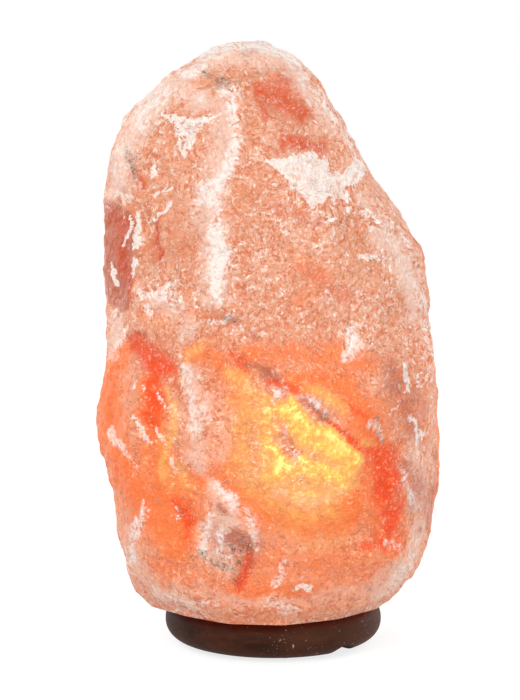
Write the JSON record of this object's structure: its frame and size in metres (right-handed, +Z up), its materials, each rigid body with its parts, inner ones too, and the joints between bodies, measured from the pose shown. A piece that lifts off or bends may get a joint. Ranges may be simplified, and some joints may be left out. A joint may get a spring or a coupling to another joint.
{
  "type": "salt crystal lamp",
  "caption": "Hand-hewn rock salt crystal lit from inside, on a round wooden base; the sprung lamp holder pulls out from below.",
  "frame": {"origin": "the axis of the wooden base, at the table under its foot pads", "axes": "+Z up, the displayed face towards -Y, +X to the right of someone who looks at that face"},
  "size_m": [0.1723, 0.1545, 0.3025],
  "materials": {
    "stained_wood": "satin",
    "felt": "matte",
    "zinc_plated_steel": "satin",
    "nylon": "matte",
    "rock_salt": "rough, hewn",
    "white_plastic": "gloss",
    "ceramic": "glazed",
    "brass": "bright",
    "spring_steel": "bright",
    "clear_glass": "clear",
    "nickel_plate": "bright",
    "black_glass": "gloss",
    "solder": "satin",
    "tungsten": "matte"
  },
  "bodies": {
    "lamp": {"wooden_base": "stained_wood", "foot_pads": "felt", "base_screws": "zinc_plated_steel", "screw_plugs": "nylon", "salt_crystal": "rock_salt"},
    "holder": {"holder_cap": "white_plastic", "holder_sleeve": "white_plastic", "holder_core": "ceramic", "terminal_blocks": "brass", "terminal_screws": "zinc_plated_steel", "screw_shell": "brass", "centre_contact": "brass", "clip_collar": "spring_steel"},
    "wing_right": {"clip_wing_right": "spring_steel"},
    "wing_left": {"clip_wing_left": "spring_steel"},
    "bulb": {"bulb_glass": "clear_glass", "bulb_cap": "nickel_plate", "bulb_insulator": "black_glass", "bulb_tip": "solder", "bulb_stem": "clear_glass", "lead_wires": "solder", "filament": "tungsten"}
  },
  "joints": [
    {"name": "holder_pull", "type": "slide", "parent": "lamp", "child": "holder", "axis": [0, 0, -1], "range_m": [0, 0.135]},
    {"name": "wing_right_squeeze", "type": "hinge", "parent": "holder", "child": "wing_right", "pos_m": [0.01575, 0, 0.043], "axis": [0, 1, 0], "range_deg": [0, 9], "stiffness_Nm_per_rad": 0.6, "springref_deg": -2.86},
    {"name": "wing_left_squeeze", "type": "hinge", "parent": "holder", "child": "wing_left", "pos_m": [-0.01575, 0, 0.043], "axis": [0, -1, 0], "range_deg": [0, 9], "stiffness_Nm_per_rad": 0.6, "springref_deg": -2.86},
    {"name": "bulb_unscrew", "type": "slide", "parent": "holder", "child": "bulb", "axis": [0, 0, 1], "range_m": [0, 0.02]}
  ]
}
